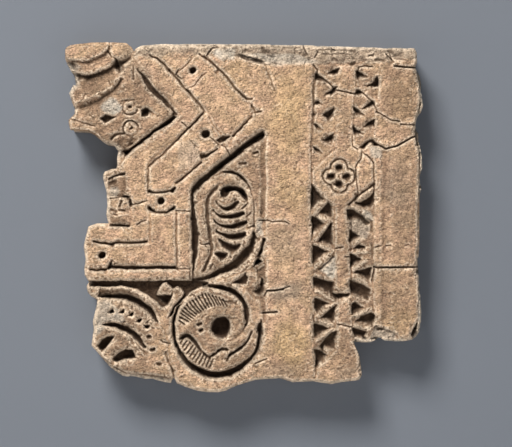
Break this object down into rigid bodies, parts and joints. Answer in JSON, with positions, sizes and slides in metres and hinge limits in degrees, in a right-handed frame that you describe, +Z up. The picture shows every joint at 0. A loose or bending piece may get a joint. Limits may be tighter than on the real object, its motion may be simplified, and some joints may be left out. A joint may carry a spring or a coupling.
{
  "type": "carved stucco wall panel fragment",
  "caption": "Broken piece of a carved plaster wall panel with strapwork, a curled leaf, scroll medallions, a plain pilaster and a zigzag strip, flat at the back.",
  "frame": {"origin": "middle of the panel's outline on its flat back, where it lies against the wall", "axes": "+X to the right of the carved face as seen from the front, +Y out of the back into the wall, +Z up"},
  "size_m": [0.574, 0.072, 0.5612],
  "materials": {
    "stucco": "weathered matt gypsum stucco, warm tan with darker recesses and grey-white plaster repairs"
  },
  "bodies": {
    "root": {"carved_panel": "stucco"}
  },
  "joints": []
}
